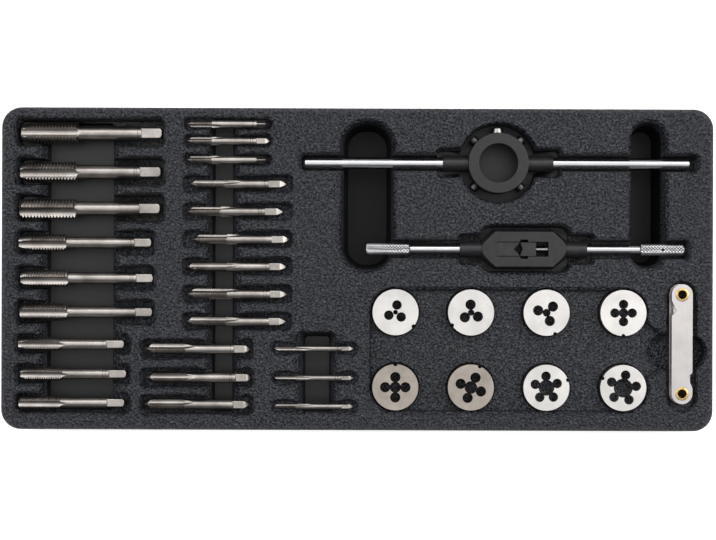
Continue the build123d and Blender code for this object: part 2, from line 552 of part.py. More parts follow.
def jaw(x, notch_at, notch):
    """A jaw block that fills the window's width, with a V across its working end."""
    body = block(x, about(0, WINDOW_WIDTH - 2 * JAW_GAP), about(0, WRENCH_THICKNESS))
    inward = -1 if notch_at > sum(x) / 2 else 1
    vee = Polyline((notch_at, -notch_half), (notch_at + inward * notch, 0), (notch_at, notch_half),
                   (notch_at - inward, notch_half), (notch_at - inward, -notch_half), close=True)
    return body - extrude(Pos(0, 0, -WRENCH_THICKNESS) * make_face(vee), 2 * WRENCH_THICKNESS)


def fixed_jaw():
    return Pos(0, WRENCH_Y, wrench_axis_z) * jaw((WINDOW_X[0], FIXED_JAW_END), FIXED_JAW_END, JAW_NOTCH)


def sliding_jaw():
    """The jaw that the adjusting screw draws along the window; the screw turns in its bore."""
    body = jaw(SLIDING_JAW_X, SLIDING_JAW_X[0], SLIDING_JAW_NOTCH)
    bore = JAW_SCREW_START + JAW_TRAVEL + SEAT_GAP
    body -= rod_x(JAW_SCREW_D + 2 * FIT_GAP, (SLIDING_JAW_X[1] - bore, SLIDING_JAW_X[1] + 1), 0, 0)
    return Pos(0, WRENCH_Y, wrench_axis_z) * body


def grip(x):
    """The thicker end of a handle, bevelled at both ends."""
    bar = rod_x(WRENCH_GRIP_D, x, 0, 0)
    return chamfer(bar.edges().filter_by(GeomType.CIRCLE), GRIP_BEVEL)


def fixed_handle():
    outer, inner = WRENCH_GRIP_X[0], WRENCH_GRIP_X[1]
    handle = grip((outer, inner)) + rod_x(WRENCH_ROD_D, (inner - 1, WRENCH_BOSS_X[0] + WRENCH_SPIGOT), 0, 0)
    return Pos(0, WRENCH_Y, wrench_axis_z) * handle


def adjusting_handle():
    """The handle that turns: grip, stem, and the screw that runs through the boss into the sliding jaw."""
    inner, outer = WRENCH_GRIP_X[2], WRENCH_GRIP_X[3]
    handle = grip((inner, outer)) + rod_x(WRENCH_ROD_D, (WRENCH_BOSS_X[1] - WRENCH_SPIGOT, inner + 1), 0, 0)
    handle += rod_x(JAW_SCREW_D, (SLIDING_JAW_X[1] - JAW_SCREW_START, WRENCH_BOSS_X[1]), 0, 0)
    handle -= Pos(outer - GRIP_HOLE_BACK, 0, 0) * Cylinder(GRIP_HOLE_D / 2, WRENCH_GRIP_D + 2)
    return Pos(0, WRENCH_Y, wrench_axis_z) * handle


# ---------------------------------------------------------------- thread pitch gauge
def strip(thickness, z):
    """The gauge's outline, a strip with round ends about the two pivots, standing on z."""
    middle = (GAUGE_TOP_PIVOT_Y + GAUGE_LOW_PIVOT_Y) / 2
    length = GAUGE_TOP_PIVOT_Y - GAUGE_LOW_PIVOT_Y + GAUGE_WIDTH
    face = Pos(GAUGE_X, middle, z) * Rot(0, 0, 90) * SlotOverall(length, GAUGE_WIDTH)
    return extrude(face, thickness)


def pivot_hole(y, diameter):
    return Pos(GAUGE_X, y, TRAY_HEIGHT) * Cylinder(diameter / 2, TRAY_HEIGHT)


def gauge_cover(z):
    """A cover plate with an eyelet hole at each end."""
    plate = strip(GAUGE_COVER_THICKNESS, z)
    for y in (GAUGE_TOP_PIVOT_Y, GAUGE_LOW_PIVOT_Y):
        plate -= pivot_hole(y, GAUGE_EYELET_D + 2 * FIT_GAP)
    return plate


def gauge_top_cover():
    """The upper cover, cut away at two corners so that a thumb reaches the leaves."""
    plate = gauge_cover(gauge_top_cover_z)
    half, deep, length = GAUGE_WIDTH / 2, COVER_CUT_DEPTH, COVER_CUT_LENGTH
    start = GAUGE_TOP_PIVOT_Y - COVER_CUT_START
    edge_x, end = GAUGE_X - half, start - length
    corner = Polyline((edge_x - 1, start), (edge_x, start), (edge_x + deep, start - 0.7 * length),
                      (edge_x, end), (edge_x - 1, end), close=True)
    cut = extrude(Pos(0, 0, gauge_top_cover_z - 1) * make_face(corner), GAUGE_COVER_THICKNESS + 2)
    centre_y = (GAUGE_TOP_PIVOT_Y + GAUGE_LOW_PIVOT_Y) / 2
    turned = Pos(GAUGE_X, centre_y, 0) * Rot(0, 0, 180) * Pos(-GAUGE_X, -centre_y, 0) * cut
    return plate - cut - turned


def eyelet(y, collar_z):
    """A rolled tube through both covers, with a flange at each end and a collar where it carries no leaves."""
    low, high = gauge_base_z - GAUGE_EYELET_HEAD, gauge_top_cover_z + GAUGE_COVER_THICKNESS + GAUGE_EYELET_HEAD
    at = Pos(GAUGE_X, y, 0)

    def disc(diameter, z0, z1):
        return at * Pos(0, 0, (z0 + z1) / 2) * Cylinder(diameter / 2, z1 - z0)

    tube = disc(GAUGE_EYELET_D, low, high)
    tube += disc(GAUGE_EYELET_HEAD_D, low, gauge_base_z)
    tube += disc(GAUGE_EYELET_HEAD_D, high - GAUGE_EYELET_HEAD, high)
    tube += disc(GAUGE_EYELET_HEAD_D, *collar_z)
    return tube - disc(GAUGE_EYELET_BORE, low - 1, high + 1)


def leaf(pivot_y, towards, z):
    """One thin leaf: round at its pivot, tapering to a narrower round end."""
    tip = GAUGE_LEAF_REACH - GAUGE_LEAF_TIP_D / 2
    shape = make_hull([Circle(GAUGE_LEAF_WIDTH / 2).edge(), (Pos(0, tip) * Circle(GAUGE_LEAF_TIP_D / 2)).edge()])
    shape -= Circle(GAUGE_EYELET_D / 2 + FIT_GAP)
    placed = Pos(GAUGE_X, pivot_y, z) * Rot(0, 0, 0 if towards > 0 else 180) * shape
    return extrude(placed, GAUGE_LEAF_THICKNESS)


def low_leaves():
    """The stowed leaves of the lower eyelet, each above the other."""
    return Compound([leaf(GAUGE_LOW_PIVOT_Y, 1, gauge_leaf_z(i)) for i in range(GAUGE_LOW_LEAVES)])


# ---------------------------------------------------------------- all pieces
def pieces():
    """Every separate piece under its own name."""
    made = {"tray": tray()}
    for name in TAPS:
        for index, kind in enumerate(TAP_ORDER):
            made[f"tap_{name}_{kind}"] = tap(name, index)
    for name, centre in die_places():
        made[f"die_{name}"] = die(name, centre)
    made["die_stock_body"] = stock_body()
    made["die_stock_handle_left"] = stock_handle(-1)
    made["die_stock_handle_right"] = stock_handle(1)
    made["die_stock_adjusting_screw"] = stock_screw(STOCK_ADJUSTER_ANGLE, STOCK_ADJUSTER_HEAD_D)
    for number, angle in enumerate(STOCK_SCREW_ANGLES, 1):
        made[f"die_stock_retaining_screw_{number}"] = stock_screw(angle, STOCK_SCREW_HEAD_D)
    made["tap_wrench_body"] = wrench_body()
    made["tap_wrench_fixed_handle"] = fixed_handle()
    made["tap_wrench_fixed_jaw"] = fixed_jaw()
    made["tap_wrench_sliding_jaw"] = sliding_jaw()
    made["tap_wrench_adjusting_handle"] = adjusting_handle()
    made["gauge_bottom_cover"] = gauge_cover(gauge_base_z)
    made["gauge_top_cover"] = gauge_top_cover()
    made["gauge_upper_eyelet"] = eyelet(GAUGE_TOP_PIVOT_Y, (gauge_base_z + GAUGE_COVER_THICKNESS, gauge_leaf_z(
        GAUGE_LOW_LEAVES) - GAUGE_LEAF_GAP))
    made["gauge_lower_eyelet"] = eyelet(GAUGE_LOW_PIVOT_Y, (gauge_leaf_z(GAUGE_LOW_LEAVES), gauge_top_cover_z))
    made["gauge_lower_leaves"] = low_leaves()
    for number in range(GAUGE_LEAVES):
        made[f"gauge_leaf_{number + 1}"] = leaf(GAUGE_TOP_PIVOT_Y, -1, gauge_leaf_z(GAUGE_LOW_LEAVES + number))
    return made


for node, shape in pieces().items():
    shape.label = node
    export_step(shape, f"parts/{node}.step")
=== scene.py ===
import json
from math import cos, pi, radians, sin, tan

import bmesh
import bpy
import numpy as np
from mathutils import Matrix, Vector

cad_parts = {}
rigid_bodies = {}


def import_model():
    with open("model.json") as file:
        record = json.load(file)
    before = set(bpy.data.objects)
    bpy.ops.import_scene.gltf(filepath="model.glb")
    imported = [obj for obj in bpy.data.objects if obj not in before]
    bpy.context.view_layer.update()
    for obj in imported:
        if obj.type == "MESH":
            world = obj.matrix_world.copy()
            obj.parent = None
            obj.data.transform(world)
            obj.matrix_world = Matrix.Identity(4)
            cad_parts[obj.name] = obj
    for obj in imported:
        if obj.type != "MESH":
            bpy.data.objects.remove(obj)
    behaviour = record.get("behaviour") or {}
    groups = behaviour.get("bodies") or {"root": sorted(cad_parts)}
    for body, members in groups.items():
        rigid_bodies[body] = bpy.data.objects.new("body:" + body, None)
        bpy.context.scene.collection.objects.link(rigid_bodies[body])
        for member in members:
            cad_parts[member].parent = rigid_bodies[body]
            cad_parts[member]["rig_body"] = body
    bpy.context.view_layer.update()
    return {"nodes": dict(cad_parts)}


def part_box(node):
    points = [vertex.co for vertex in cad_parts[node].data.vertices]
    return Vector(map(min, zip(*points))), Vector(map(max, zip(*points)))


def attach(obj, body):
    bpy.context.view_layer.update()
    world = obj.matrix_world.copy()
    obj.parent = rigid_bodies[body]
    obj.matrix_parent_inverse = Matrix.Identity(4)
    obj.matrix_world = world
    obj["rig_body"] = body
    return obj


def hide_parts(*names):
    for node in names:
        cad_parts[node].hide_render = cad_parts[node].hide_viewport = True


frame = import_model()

MM = 0.001


# ---------------------------------------------------------------- materials
# Heights over the floor, in metres: the tray's grain comes in between the first two, its gloss from the third.
# Below the first height the tray's colour is painted at its darkest, as shade deep in the channels.
GRAIN_FROM, GRAIN_FULL, GLOSS_FROM = 0.0155, 0.0185, 0.002
TRAY_EDGE_R = 0.0006         # how far the shading rounds the tray's edges, in metres


def new_material(name, color, roughness, metallic=0.0):
    """A material with a principled shader, and its node tree to build on."""
    material = bpy.data.materials.new(name)
    material.use_nodes = True
    tree = material.node_tree
    shader = tree.nodes["Principled BSDF"]
    shader.inputs["Base Color"].default_value = (*color, 1)
    shader.inputs["Roughness"].default_value = roughness
    shader.inputs["Metallic"].default_value = metallic
    return material, tree, shader


def texture(tree, kind, scale, stretch=(1, 1, 1), **settings):
    """A texture node in object coordinates, in metres, stretched along the axes."""
    place = tree.nodes.new("ShaderNodeTexCoord")
    mapping = tree.nodes.new("ShaderNodeMapping")
    mapping.inputs["Scale"].default_value = stretch
    node = tree.nodes.new(kind)
    node.inputs["Scale"].default_value = scale
    for key, value in settings.items():
        if key in node.inputs:
            node.inputs[key].default_value = value
        else:
            setattr(node, key, value)
    tree.links.new(place.outputs["Object"], mapping.inputs["Vector"])
    tree.links.new(mapping.outputs["Vector"], node.inputs["Vector"])
    return node


def ramp(tree, source, stops):
    """A colour ramp over a texture's value; stops are (position, colour)."""
    node = tree.nodes.new("ShaderNodeValToRGB")
    elements = node.color_ramp.elements
    while len(elements) < len(stops):
        elements.new(0.5)
    for element, (at, color) in zip(elements, stops):
        element.position = at
        element.color = (*color, 1)
    tree.links.new(source, node.inputs["Fac"])
    return node


def product(tree, first, second):
    """Two values multiplied."""
    node = tree.nodes.new("ShaderNodeMath")
    node.operation = "MULTIPLY"
    tree.links.new(first, node.inputs[0])
    tree.links.new(second, node.inputs[1])
    return node.outputs["Value"]


def height_mask(tree, low, high):
    """0 below one height over the floor and 1 above the other, in metres."""
    place = tree.nodes.new("ShaderNodeTexCoord")
    parts = tree.nodes.new("ShaderNodeSeparateXYZ")
    node = tree.nodes.new("ShaderNodeMapRange")
    node.inputs["From Min"].default_value = low
    node.inputs["From Max"].default_value = high
    tree.links.new(place.outputs["Object"], parts.inputs["Vector"])
    tree.links.new(parts.outputs["Z"], node.inputs["Value"])
    return node.outputs["Result"]


def between(tree, source, low, high, socket):
    """Sets a shader's value between two values, following a source that runs from 0 to 1."""
    node = tree.nodes.new("ShaderNodeMapRange")
    node.inputs["To Min"].default_value = low
    node.inputs["To Max"].default_value = high
    tree.links.new(source, node.inputs["Value"])
    tree.links.new(node.outputs["Result"], socket)


def bump(tree, shader, source, distance, strength=1.0, before=None):
    """Relief from a height; a second one goes on top of the one before."""
    node = tree.nodes.new("ShaderNodeBump")
    node.inputs["Distance"].default_value = distance
    node.inputs["Strength"].default_value = strength
    tree.links.new(source, node.inputs["Height"])
    if before is not None:
        tree.links.new(before.outputs["Normal"], node.inputs["Normal"])
    tree.links.new(node.outputs["Normal"], shader.inputs["Normal"])
    return node


def tray_plastic():
    """Black moulded plastic: a leathery grain of about a millimetre on top, smooth deep in the channels;
    painted glints lighten the grain's crests, and painted shade darkens its hollows and the deep channels.
    """
    material, tree, shader = new_material("tray_plastic", (0.011, 0.012, 0.016), 0.40)
    grain = texture(tree, "ShaderNodeTexNoise", 820, Detail=1.5, Roughness=0.5, Distortion=0.35)
    fine = texture(tree, "ShaderNodeTexNoise", 2600, Detail=2.0, Roughness=0.6)
    grain_relief_and_painted_light = product(tree, grain.outputs["Fac"], height_mask(tree, GRAIN_FROM, GRAIN_FULL))
    # painted light in the colour: the grain's crests lighter as glints, its hollows and everything deep in the
    # channels darker as shade
    color = ramp(tree, grain_relief_and_painted_light, ((0.40, (0.003, 0.0032, 0.004)), (0.66, (0.042, 0.045, 0.058))))
    tree.links.new(color.outputs["Color"], shader.inputs["Base Color"])
    between(tree, height_mask(tree, GLOSS_FROM, GRAIN_FULL), 0.13, 0.45, shader.inputs["Specular IOR Level"])
    leather = bump(tree, shader, grain_relief_and_painted_light, 0.0020)
    soft = tree.nodes.new("ShaderNodeBevel")
    soft.samples = 6
    soft.inputs["Radius"].default_value = TRAY_EDGE_R
    tree.links.new(soft.outputs["Normal"], leather.inputs["Normal"])
    bump(tree, shader, fine.outputs["Fac"], 0.00005, 0.6, before=leather)
    between(tree, fine.outputs["Fac"], 0.34, 0.48, shader.inputs["Roughness"])
    return material


def steel(name, dark, light, rough, along=(4, 60, 60), fine=180, depth=0.000012):
    """Bare steel with fine grinding marks across its length and uneven tone."""
    material, tree, shader = new_material(name, light, rough, 1.0)
    marks = texture(tree, "ShaderNodeTexNoise", fine, along, Detail=5.0, Roughness=0.7)
    cloud = texture(tree, "ShaderNodeTexNoise", 90, Detail=3.0)
    uneven = product(tree, marks.outputs["Fac"], cloud.outputs["Fac"])
    color = ramp(tree, uneven, ((0.10, dark), (0.36, light)))
    tree.links.new(color.outputs["Color"], shader.inputs["Base Color"])
    bump(tree, shader, marks.outputs["Fac"], depth)
    between(tree, marks.outputs["Fac"], rough * 0.8, rough * 1.2, shader.inputs["Roughness"])
    return material


def black_steel(name, dark, light, rough):
    """Blackened steel: nearly black, satin, a little uneven."""
    material, tree, shader = new_material(name, light, rough, 0.0)
    shader.inputs["Specular IOR Level"].default_value = 0.38
    cloud = texture(tree, "ShaderNodeTexNoise", 260, Detail=5.0)
    fine = texture(tree, "ShaderNodeTexNoise", 2200, Detail=2.0)
    color = ramp(tree, cloud.outputs["Fac"], ((0.35, dark), (0.7, light)))
    tree.links.new(color.outputs["Color"], shader.inputs["Base Color"])
    between(tree, cloud.outputs["Fac"], rough * 0.85, rough * 1.3, shader.inputs["Roughness"])
    bump(tree, shader, fine.outputs["Fac"], 0.000015)
    return material


def brass():
    """Yellow brass, cloudy."""
    material, tree, shader = new_material("eyelet_brass", (0.60, 0.42, 0.16), 0.25, 1.0)
    cloud = texture(tree, "ShaderNodeTexNoise", 500, Detail=4.0)
    color = ramp(tree, cloud.outputs["Fac"], ((0.3, (0.50, 0.34, 0.12)), (0.7, (0.74, 0.54, 0.24))))
    tree.links.new(color.outputs["Color"], shader.inputs["Base Color"])
    between(tree, cloud.outputs["Fac"], 0.2, 0.38, shader.inputs["Roughness"])
    return material


PLASTIC = tray_plastic()
SHANK = steel("tap_shank", (0.68, 0.665, 0.65), (0.86, 0.845, 0.83), 0.27, (30, 4, 4), 120, 0.000003)
THREAD = steel("tap_thread", (0.20, 0.18, 0.165), (0.42, 0.39, 0.365), 0.30, (6, 6, 6), 300, 0.000004)
SQUARE = steel("tap_square", (0.88, 0.85, 0.825), (0.95, 0.92, 0.89), 0.23, (4, 40, 40), 120, 0.000003)
DIE = steel("die_steel", (0.50, 0.485, 0.465), (0.66, 0.64, 0.62), 0.34, (30, 3, 30), 150, 0.000006)
DARK_DIE = steel("dark_die_steel", (0.24, 0.21, 0.18), (0.40, 0.36, 0.32), 0.36, (30, 3, 30), 150, 0.000006)
HANDLE = steel("handle_steel", (0.46, 0.46, 0.47), (0.58, 0.58, 0.59), 0.15, (3, 40, 40), 80, 0.000002)
# painted shade for the deep parts of the knurl's grooves
PAINTED_KNURL_SHADE = steel("knurl_painted_shade", (0.10, 0.10, 0.10), (0.22, 0.22, 0.22), 0.30)
SCREW = steel("screw_steel", (0.05, 0.05, 0.05), (0.12, 0.12, 0.12), 0.36)
BRIGHT_SCREW = steel("bright_screw_steel", (0.30, 0.29, 0.27), (0.50, 0.49, 0.46), 0.30)
COVER = steel("cover_steel", (0.40, 0.38, 0.372), (0.49, 0.465, 0.455), 0.36, (40, 2, 40), 120, 0.000005)
LEAF = steel("leaf_steel", (0.45, 0.44, 0.43), (0.64, 0.62, 0.60), 0.3, (30, 2, 30), 120, 0.000005)
BLACK = black_steel("black_oxide", (0.008, 0.008, 0.009), (0.015, 0.015, 0.017), 0.36)
JAW = black_steel("jaw_black", (0.010, 0.010, 0.011), (0.020, 0.020, 0.021), 0.32)
BRASS = brass()


# ---------------------------------------------------------------- pieces in the place of the plain solids
SHARP = 28                   # degrees between two faces from which their edge is rounded
STRAIGHT_ON = 0.75           # cosine above which the next edge counts as the same one going on
ROOM = 1.3                   # least length of an edge beside a rounded one, in widths
WELD = 0.000002              # metres within which points are one
FLAT = 0.5                   # degrees within which faces are one


def add_piece(name, mesh, node):
    """Puts a mesh in the scene in the place of a node, riding on that node's body."""
    piece = bpy.data.objects.new(name, mesh)
    bpy.context.scene.collection.objects.link(piece)
    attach(piece, frame["nodes"][node]["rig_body"])
    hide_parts(node)
    return piece


def dressed(mesh, materials, angle=30):
    """Gives a mesh its materials and smooth faces between sharp edges."""
    mesh.materials.clear()
    for material in materials:
        mesh.materials.append(material)
    mesh.polygons.foreach_set("use_smooth", [True] * len(mesh.polygons))
    mesh.update()
    mesh.set_sharp_from_angle(angle=radians(angle))
    return mesh


def room_for(edges, width):
    """Those of the sharp edges that can be rounded this much: none ends beside an edge too short for it."""
    chosen = set(edges)
    while True:
        tight = set()
        for edge in chosen:
            for vert in edge.verts:
                ahead = (edge.other_vert(vert).co - vert.co).normalized()
                for other in vert.link_edges:
                    if other is edge:
                        continue
                    turn = (other.other_vert(vert).co - vert.co).normalized().dot(-ahead)
                    goes_on = other in chosen and turn > STRAIGHT_ON
                    if not goes_on and other.calc_length() < ROOM * width:
                        tight.add(vert)
        kept = {e for e in chosen if not (e.verts[0] in tight or e.verts[1] in tight)}
        if len(kept) == len(chosen):
            return list(kept)
        chosen = kept


def refined(node, name, material, width=0.0, segments=2, chosen=None):
    """A node's own form, its sharp edges rounded by a width in mm: all, or those whose middles are chosen."""
    mesh = frame["nodes"][node].data.copy()
    mesh.name = name
    work = bmesh.new()
    work.from_mesh(mesh)
    bmesh.ops.remove_doubles(work, verts=work.verts, dist=WELD)
    bmesh.ops.dissolve_limit(work, angle_limit=radians(FLAT), verts=work.verts, edges=work.edges)
    if width:
        edges = [e for e in work.edges if len(e.link_faces) == 2 and e.calc_face_angle(0) > radians(SHARP)]
        edges = [e for e in edges if chosen is None or chosen((e.verts[0].co + e.verts[1].co) / 2 / MM)]
        bmesh.ops.bevel(work, geom=room_for(edges, width * MM), offset=width * MM, segments=segments,
                        affect="EDGES", profile=0.5, clamp_overlap=False)
    work.to_mesh(mesh)
    work.free()
    piece = add_piece(name, dressed(mesh, [material]), node)
    even = piece.modifiers.new("even_normals", "WEIGHTED_NORMAL")
    even.keep_sharp = True
    return piece


def cut_from(piece, corners, faces):
    """Takes a closed form, given in mm, out of a piece's mesh."""
    shape = bpy.data.meshes.new(piece.name + "_cut")
    shape.from_pydata([Vector(c) * MM for c in corners], [], faces)
    cutter = bpy.data.objects.new(shape.name, shape)
    bpy.context.scene.collection.objects.link(cutter)
    blank = bpy.data.objects.new(piece.name + "_blank", piece.data.copy())
    bpy.context.scene.collection.objects.link(blank)
    change = blank.modifiers.new("cut", "BOOLEAN")
    change.operation = "DIFFERENCE"
    change.solver = "EXACT"
    change.object = cutter
    seen = blank.evaluated_get(bpy.context.evaluated_depsgraph_get())
    mesh = bpy.data.meshes.new_from_object(seen)
    mesh.name = piece.data.name + "_cut"
    piece.data = dressed(mesh, list(piece.data.materials))
    bpy.data.objects.remove(blank)
    bpy.data.objects.remove(cutter)


def box_corners(middle, along, across, up, size):
    """The corners and faces of a box about a point, with its three directions and its three sizes."""
    signs = [(a, b, c) for a in (-1, 1) for b in (-1, 1) for c in (-1, 1)]
    half = [Vector(v) * s / 2 for v, s in zip((along, across, up), size)]
    corners = [Vector(middle) + half[0] * a + half[1] * b + half[2] * c for a, b, c in signs]
    return corners, [(0, 1, 3, 2), (4, 6, 7, 5), (0, 4, 5, 1), (2, 3, 7, 6), (0, 2, 6, 4), (1, 5, 7, 3)]


def round_corners(x, y, z, radius, count=24):
    """The corners and faces of an upright round pin."""
    angles = [2 * pi * k / count for k in range(count)]
    ring = [(x + radius * cos(a), y + radius * sin(a)) for a in angles]
    corners = [(a, b, z[0]) for a, b in ring] + [(a, b, z[1]) for a, b in ring]
    sides = [(k, (k + 1) % count, count + (k + 1) % count, count + k) for k in range(count)]
    return corners, sides + [tuple(reversed(range(count))), tuple(range(count, 2 * count))]


def bar_mesh(name, xs, radius, y, z, slots):
    """A closed bar along X from its radius at every station and angle, measured from straight up, in mm."""
    rings, around = radius.shape
    angles = np.arange(around) * 2 * pi / around
    grid_x = np.repeat(np.asarray(xs)[:, None], around, 1)
    points = np.stack([grid_x, y + radius * np.sin(angles), z + radius * np.cos(angles)], -1)
    end_points = [[x * MM, y * MM, z * MM] for x in (xs[0], xs[-1])]
    first, last = rings * around, rings * around + 1
    faces = []
    for i in range(rings - 1):
        for j in range(around):
            k = (j + 1) % around
            faces.append((i * around + j, (i + 1) * around + j, (i + 1) * around + k, i * around + k))
    for j in range(around):
        k = (j + 1) % around
        faces += [(first, j, k), (last, (rings - 1) * around + k, (rings - 1) * around + j)]
    mesh = bpy.data.meshes.new(name)
    mesh.from_pydata((points.reshape(-1, 3) * MM).tolist() + end_points, [], faces)
    mesh.polygons.foreach_set("material_index", list(slots) + [slots[0], slots[-1]] * around)
    return mesh


# ---------------------------------------------------------------- taps
# As in the part, in mm: diameter, pitch, length of thread, end of flutes, shank, square and its length, pointed
# ends. Rolls say how far a size's three taps lie turned towards -Y, in degrees.
TAPS = {
    "m12": dict(d=12.0, pitch=1.75, thread=30.0, flute=41.0, shank=7.8, square=6.1, square_length=10.7,
                pointed=False, rolls=(0, 14, 28)),
    "m10": dict(d=10.0, pitch=1.5, thread=25.0, flute=34.0, shank=6.4, square=4.9, square_length=8.7,
                pointed=False, rolls=(18, 22, 8)),
    "m8": dict(d=8.0, pitch=1.25, thread=22.0, flute=31.0, shank=5.9, square=4.5, square_length=9.0,
               pointed=False, rolls=(6, 10, 8)),
    "m7": dict(d=7.0, pitch=1.0, thread=22.0, flute=31.0, shank=5.7, square=4.3, square_length=8.6,
               pointed=True, rolls=(-30, -10, -25)),
    "m6": dict(d=6.0, pitch=1.0, thread=22.0, flute=31.0, shank=5.6, square=4.3, square_length=8.6,
               pointed=True, rolls=(-12, -50, -25)),
    "m5": dict(d=5.0, pitch=0.8, thread=18.5, flute=28.0, shank=5.5, square=4.3, square_length=9.2,
               pointed=True, rolls=(-20, -50, -50)),
    "m4": dict(d=4.0, pitch=0.7, thread=13.7, flute=21.0, shank=4.4, square=3.4, square_length=6.9,
               pointed=True, rolls=(40, -50, -50)),
    "m3": dict(d=3.0, pitch=0.5, thread=12.0, flute=21.0, shank=3.3, square=2.7, square_length=6.0,
               pointed=True, rolls=(10, 0, -30)),
}
# Where the axes of a size's three taps lie in Y.
TAP_ROWS = {
    "m12": (74.0, 52.8, 32.8), "m10": (14.1, -5.3, -23.9), "m8": (-41.4, -57.6, -73.4),
    "m7": (-43.8, -59.4, -74.1), "m6": (1.2, -13.8, -28.7), "m5": (46.3, 31.2, 16.1),
    "m4": (79.0, 69.7, 59.4), "m3": (-43.3, -59.3, -74.8),
}
TAP_LEADS = {"taper": 0.30, "second": 0.16, "bottoming": 0.07}       # share of the thread that is chamfered
TAP_RINGS = {"taper": 1, "second": 2, "bottoming": 0}                # marking rings beside the square
TURNED_SQUARES = {("m4", "taper"), ("m4", "bottoming")}              # these show an edge of the square
TOOL_TOP_Z = 28.0 - 0.7      # the taps' highest points

THREAD_DEPTH = 0.61          # share of the pitch
FLANK_RISE, FLANK_START = 1.25, 0.12     # a tooth's flank: how steep it is, and the flat root before it
RUN_OUT = 0.7                # share of the pitch in which the thread ends in the shank
TIP_SHARE = 0.72             # share of the diameter that the lead starts from
FLUTES = 3
FLUTE_CORE, FLUTE_R = 0.28, 0.27         # shares of the diameter
RING_FIRST, RING_STEP = 2.2, 1.3         # from the square to the first ring, and from ring to ring
RING_HALF, RING_DEPTH = 0.2, 0.22
RING_EDGES = (-0.28, -0.14, 0.14, 0.28)
SHOULDER = 0.35              # length in which the square runs out in the shank
SHOULDER_REACH = 0.36
END_BEVEL, END_REACH = 0.7, 2            # a flat end's bevel, and the length that it can touch
TIP_FLAT_R = 0.2
POINT_SLOPE = tan(radians(32.0))

STEPS_PER_PITCH, SHANK_STEPS, AROUND = 6, 40, 84
THREAD_SLOT, SHANK_SLOT, SQUARE_SLOT, FLUTE_SLOT = range(4)


def tap_stations(size, end):
    """Places along the axis where the surface has a ring of points."""
    step = size["pitch"] / STEPS_PER_PITCH
    threads = np.arange(0, size["thread"] + size["pitch"], step)
    shank = np.linspace(size["thread"] + size["pitch"], end, SHANK_STEPS)
    square = end - size["square_length"]
    extra = [square - SHOULDER, square, square + SHOULDER, end - 0.05, end - 0.5]
    rings = [square - RING_FIRST - RING_STEP * k + o for k in range(2) for o in RING_EDGES]
    return np.unique(np.round(np.concatenate([threads, shank, extra, rings, [end]]), 4))


def thread_and_shank(size, kind, x, angle):
    """Distance from the axis of the thread with its chamfered lead, and of the plain shank after it."""
    d, shank, thread = size["d"], size["shank"] / 2, size["thread"]
    phase = (x / size["pitch"] + angle / (2 * pi)) % 1.0
    tooth = np.abs(phase - 0.5) * 2
    crest = np.clip(FLANK_RISE * tooth - FLANK_START, 0, 1)
    threaded = d / 2 - THREAD_DEPTH * size["pitch"] * (1 - crest)
    lead = thread * TAP_LEADS[kind]
    chamfer = d / 2 * (TIP_SHARE + (1 - TIP_SHARE) * x / lead)
    threaded = np.minimum(threaded, chamfer)
    fade = np.clip((x - thread) / (RUN_OUT * size["pitch"]), 0, 1)
    neck = threaded * (1 - fade) + shank * fade
    return np.where(x < thread, threaded, neck)


def flute_floor(size, x, angle, roll):
    """Distance of the round flutes from the axis, and a value that is above 0 where there is one."""
    d, shank, thread = size["d"], size["shank"] / 2, size["thread"]
    run = size["flute"] - thread
    rise = max(d / 2, shank) - FLUTE_CORE * d
    middle = (FLUTE_CORE + FLUTE_R) * d + np.clip(x - thread, 0, None) * rise / run
    away = (angle + radians(roll) + pi / FLUTES) % (2 * pi / FLUTES) - pi / FLUTES
    reach = (FLUTE_R * d) ** 2 - (middle * np.sin(away)) ** 2
    return middle * np.cos(away) - np.sqrt(np.clip(reach, 0, None)), reach


def tap_radius(size, kind, end, x, angle, roll, turned):
    """Distance of the tap's surface from its axis; angle is measured from straight up."""
    shank = size["shank"] / 2
    radius = thread_and_shank(size, kind, x, angle)
    groove, reach = flute_floor(size, x, angle, roll)
    in_flute = (reach > 0) & (groove < radius)
    radius = np.where(in_flute, groove, radius)
    square_at = end - size["square_length"]
    for k in range(TAP_RINGS[kind]):
        in_ring = np.abs(x - (square_at - RING_FIRST - RING_STEP * k)) < RING_HALF
        radius = np.where(in_ring, radius - RING_DEPTH, radius)
    flat = (angle + radians(turned) + pi / 4) % (pi / 2) - pi / 4
    square = size["square"] / 2 / np.cos(flat)
    square = square + np.clip((square_at - x) / SHOULDER, 0, 1) * shank
    radius = np.minimum(radius, np.where(x > square_at - SHOULDER_REACH, square, radius))
    if size["pointed"]:
        radius = np.minimum(radius, TIP_FLAT_R + x * POINT_SLOPE)
        radius = np.minimum(radius, (TIP_FLAT_R + (end - x) * POINT_SLOPE) / np.cos(flat))
    else:
        bevel = shank - END_BEVEL + np.clip(end - x, 0, None)
        radius = np.where(x < end - END_REACH, radius, np.minimum(radius, bevel))
    return radius, in_flute


def tap_mesh(name, kind):
    """A threaded, fluted tap in the place of its plain solid."""
    node, size = f"tap_{name}_{kind}", TAPS[name]
    which = list(TAP_LEADS).index(kind)
    low, high = (Vector(v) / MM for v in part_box(node))
    end = high.x - low.x
    turned = 45 if (name, kind) in TURNED_SQUARES else 0
    xs = tap_stations(size, end)
    grid_x, grid_a = np.meshgrid(xs, np.arange(AROUND) * 2 * pi / AROUND, indexing="ij")
    radius, in_flute = tap_radius(size, kind, end, grid_x, grid_a, size["rolls"][which], turned)
    middles = (xs[:-1] + xs[1:]) / 2
    plain = np.where(middles > size["thread"], SHANK_SLOT, THREAD_SLOT)
    plain = np.where(middles > end - size["square_length"], SQUARE_SLOT, plain)
    in_groove = in_flute[:-1] & (middles < size["thread"] + 1)[:, None]
    slots = np.where(in_groove, FLUTE_SLOT, plain[:, None])
    axis_z = TOOL_TOP_Z - max(size["d"], size["shank"]) / 2
    mesh = bar_mesh(node + "_threaded", low.x + xs, radius, TAP_ROWS[name][which], axis_z,
                    slots.reshape(-1).tolist())
    add_piece(node + "_threaded", dressed(mesh, [THREAD, SHANK, SQUARE, SHANK], 28), node)


